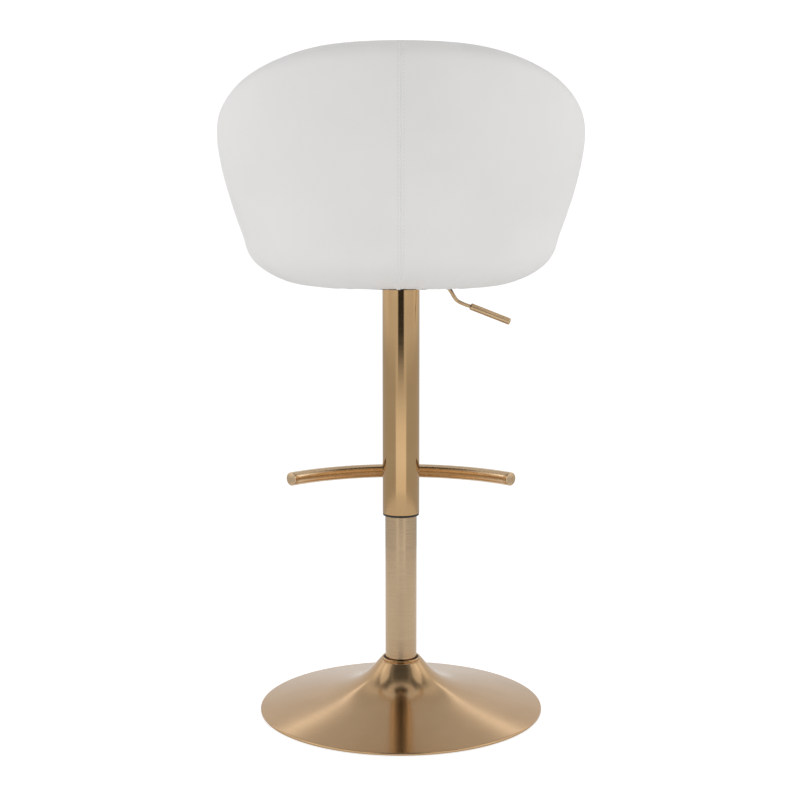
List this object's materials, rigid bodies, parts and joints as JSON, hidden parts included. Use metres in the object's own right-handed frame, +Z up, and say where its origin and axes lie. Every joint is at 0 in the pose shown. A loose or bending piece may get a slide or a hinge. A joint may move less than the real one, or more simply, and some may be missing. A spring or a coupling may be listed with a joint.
{
  "type": "bar stool with footrest",
  "caption": "Swivel bar stool with an upholstered bucket seat, a gas-lift column with a curved footrest and lever, and a round trumpet base.",
  "frame": {"origin": "on the floor, on the column's axis", "axes": "+Z up, -Y towards the front of the seat, +Y towards the back, the lever on the -X side"},
  "size_m": [0.562, 0.4569, 1.038],
  "materials": {
    "gold_satin": "satin",
    "gold_polished": "polished",
    "steel": "satin",
    "black_steel": "satin",
    "cast_iron": "matte",
    "black_nylon": "satin",
    "rubber": "matte",
    "white_leather": "satin",
    "padded_leather": "satin",
    "plywood": "matte",
    "lining": "matte"
  },
  "bodies": {
    "base": {"floor_ring": "rubber", "ballast_plate": "cast_iron", "trumpet_cover": "gold_satin", "anchor_ring": "steel", "anchor_screw_1": "steel", "anchor_screw_2": "steel", "anchor_screw_3": "steel", "neck_bush": "black_nylon", "lower_column": "gold_satin", "column_end_plate": "steel", "guide_bush": "black_nylon", "bearing_lower_race": "steel"},
    "ball_cage": {"bearing_ball_cage": "steel"},
    "spindle": {"piston_rod": "steel", "piston": "black_nylon", "bearing_upper_race": "steel", "rod_collar": "steel", "rod_clip": "steel", "rubber_bumper": "rubber"},
    "lift": {"gas_cylinder": "black_steel", "rod_gland": "black_nylon", "cover_tube": "gold_polished", "cover_bush": "black_nylon", "top_bush": "black_nylon", "footrest_bar": "gold_polished", "footrest_stub": "gold_polished", "footrest_cap_left": "gold_polished", "footrest_cap_right": "gold_polished", "hub": "black_steel", "mechanism_tray": "black_steel", "mechanism_plate": "black_steel", "lever_pivot_pin": "steel", "seat_board": "plywood", "seat_bolt_1": "steel", "seat_bolt_2": "steel", "seat_bolt_3": "steel", "seat_bolt_4": "steel", "washer_1": "steel", "washer_2": "steel", "washer_3": "steel", "washer_4": "steel", "tee_nut_1": "steel", "tee_nut_2": "steel", "tee_nut_3": "steel", "tee_nut_4": "steel", "shell_screw_1": "steel", "shell_screw_2": "steel", "shell_screw_3": "steel", "shell_screw_4": "steel", "tub_core": "plywood", "outer_cover": "white_leather", "inner_pad": "padded_leather", "seat_cushion": "padded_leather", "dust_cover": "lining"},
    "lever": {"lever_rod": "gold_polished", "lever_grip": "gold_polished"},
    "valve": {"valve_pin": "steel"}
  },
  "joints": [
    {"name": "swivel", "type": "hinge", "parent": "base", "child": "spindle", "pos_m": [0, 0, 0], "axis": [0, 0, 1], "continuous": true},
    {"name": "ball_cage_roll", "type": "hinge", "parent": "base", "child": "ball_cage", "pos_m": [0, 0, 0], "axis": [0, 0, 1], "continuous": true},
    {"name": "height_adjust", "type": "slide", "parent": "spindle", "child": "lift", "axis": [0, 0, 1], "range_m": [-0.212, 0]},
    {"name": "lever_lift", "type": "hinge", "parent": "lift", "child": "lever", "pos_m": [-0.03, 0, 0.688], "axis": [0, 1, 0], "range_deg": [0, 7], "stiffness_Nm_per_rad": 0.6, "springref_deg": -14.32},
    {"name": "valve_press", "type": "slide", "parent": "lift", "child": "valve", "axis": [0, 0, -1], "range_m": [0, 0.0042]}
  ],
  "couplings": [
    {"joint": "ball_cage_roll", "follows": "swivel", "ratio": 0.5},
    {"joint": "valve_press", "follows": "lever_lift", "m_per_rad": 0.033}
  ]
}
